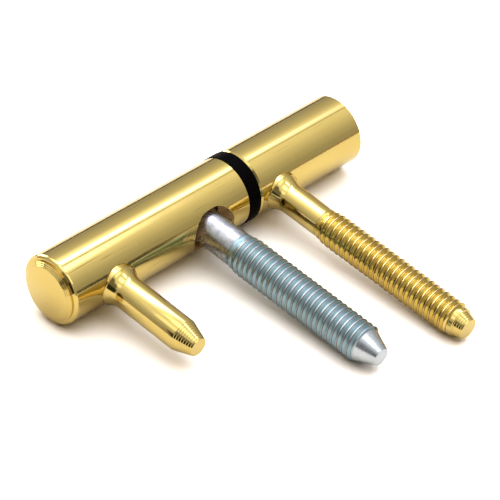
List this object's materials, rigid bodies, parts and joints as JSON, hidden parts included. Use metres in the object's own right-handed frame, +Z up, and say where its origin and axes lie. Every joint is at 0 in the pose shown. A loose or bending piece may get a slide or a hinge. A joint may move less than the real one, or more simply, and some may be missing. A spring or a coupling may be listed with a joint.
{
  "type": "drill-in hinge",
  "caption": "Barrel hinge with drilled-in pins: a smooth guide pin and a captive adjusting screw on the leaf barrel, a dark bearing ring and a fixed screw on the frame barrel.",
  "frame": {"origin": "on the surface that the hinge lies on, under the centre of its box", "axes": "+X along the barrel from the leaf side to the frame side, -Y the way the pins point, +Z up from the surface"},
  "size_m": [0.087, 0.0706, 0.0163],
  "materials": {
    "brass_plate": "polished brass plating",
    "zinc_plate": "bright blue zinc plating",
    "bright_steel": "ground steel",
    "spring_steel": "blackened steel",
    "black_plastic": "satin black"
  },
  "bodies": {
    "frame": {"frame_barrel": "brass_plate", "frame_screw": "brass_plate", "bearing_bush": "black_plastic"},
    "height_screw": {"height_screw": "spring_steel"},
    "thrust_button": {"thrust_button": "bright_steel"},
    "leaf": {"leaf_barrel": "brass_plate", "guide_pin": "brass_plate", "hinge_pin": "bright_steel", "retaining_clip": "spring_steel"},
    "adjusting_screw": {"adjusting_screw": "zinc_plate"}
  },
  "joints": [
    {"name": "height_adjust", "type": "slide", "parent": "frame", "child": "height_screw", "axis": [-1, 0, 0], "range_m": [0, 0.003]},
    {"name": "lift_off", "type": "slide", "parent": "height_screw", "child": "thrust_button", "axis": [-1, 0, 0], "range_m": [0, 0.024]},
    {"name": "leaf_swing", "type": "hinge", "parent": "thrust_button", "child": "leaf", "pos_m": [0.00845, 0.02718, 0.00815], "axis": [1, 0, 0], "continuous": true},
    {"name": "adjuster_turn", "type": "hinge", "parent": "leaf", "child": "adjusting_screw", "pos_m": [-0.00225, 0.02718, 0.00815], "axis": [0, -0.9974, -0.0715], "continuous": true}
  ]
}
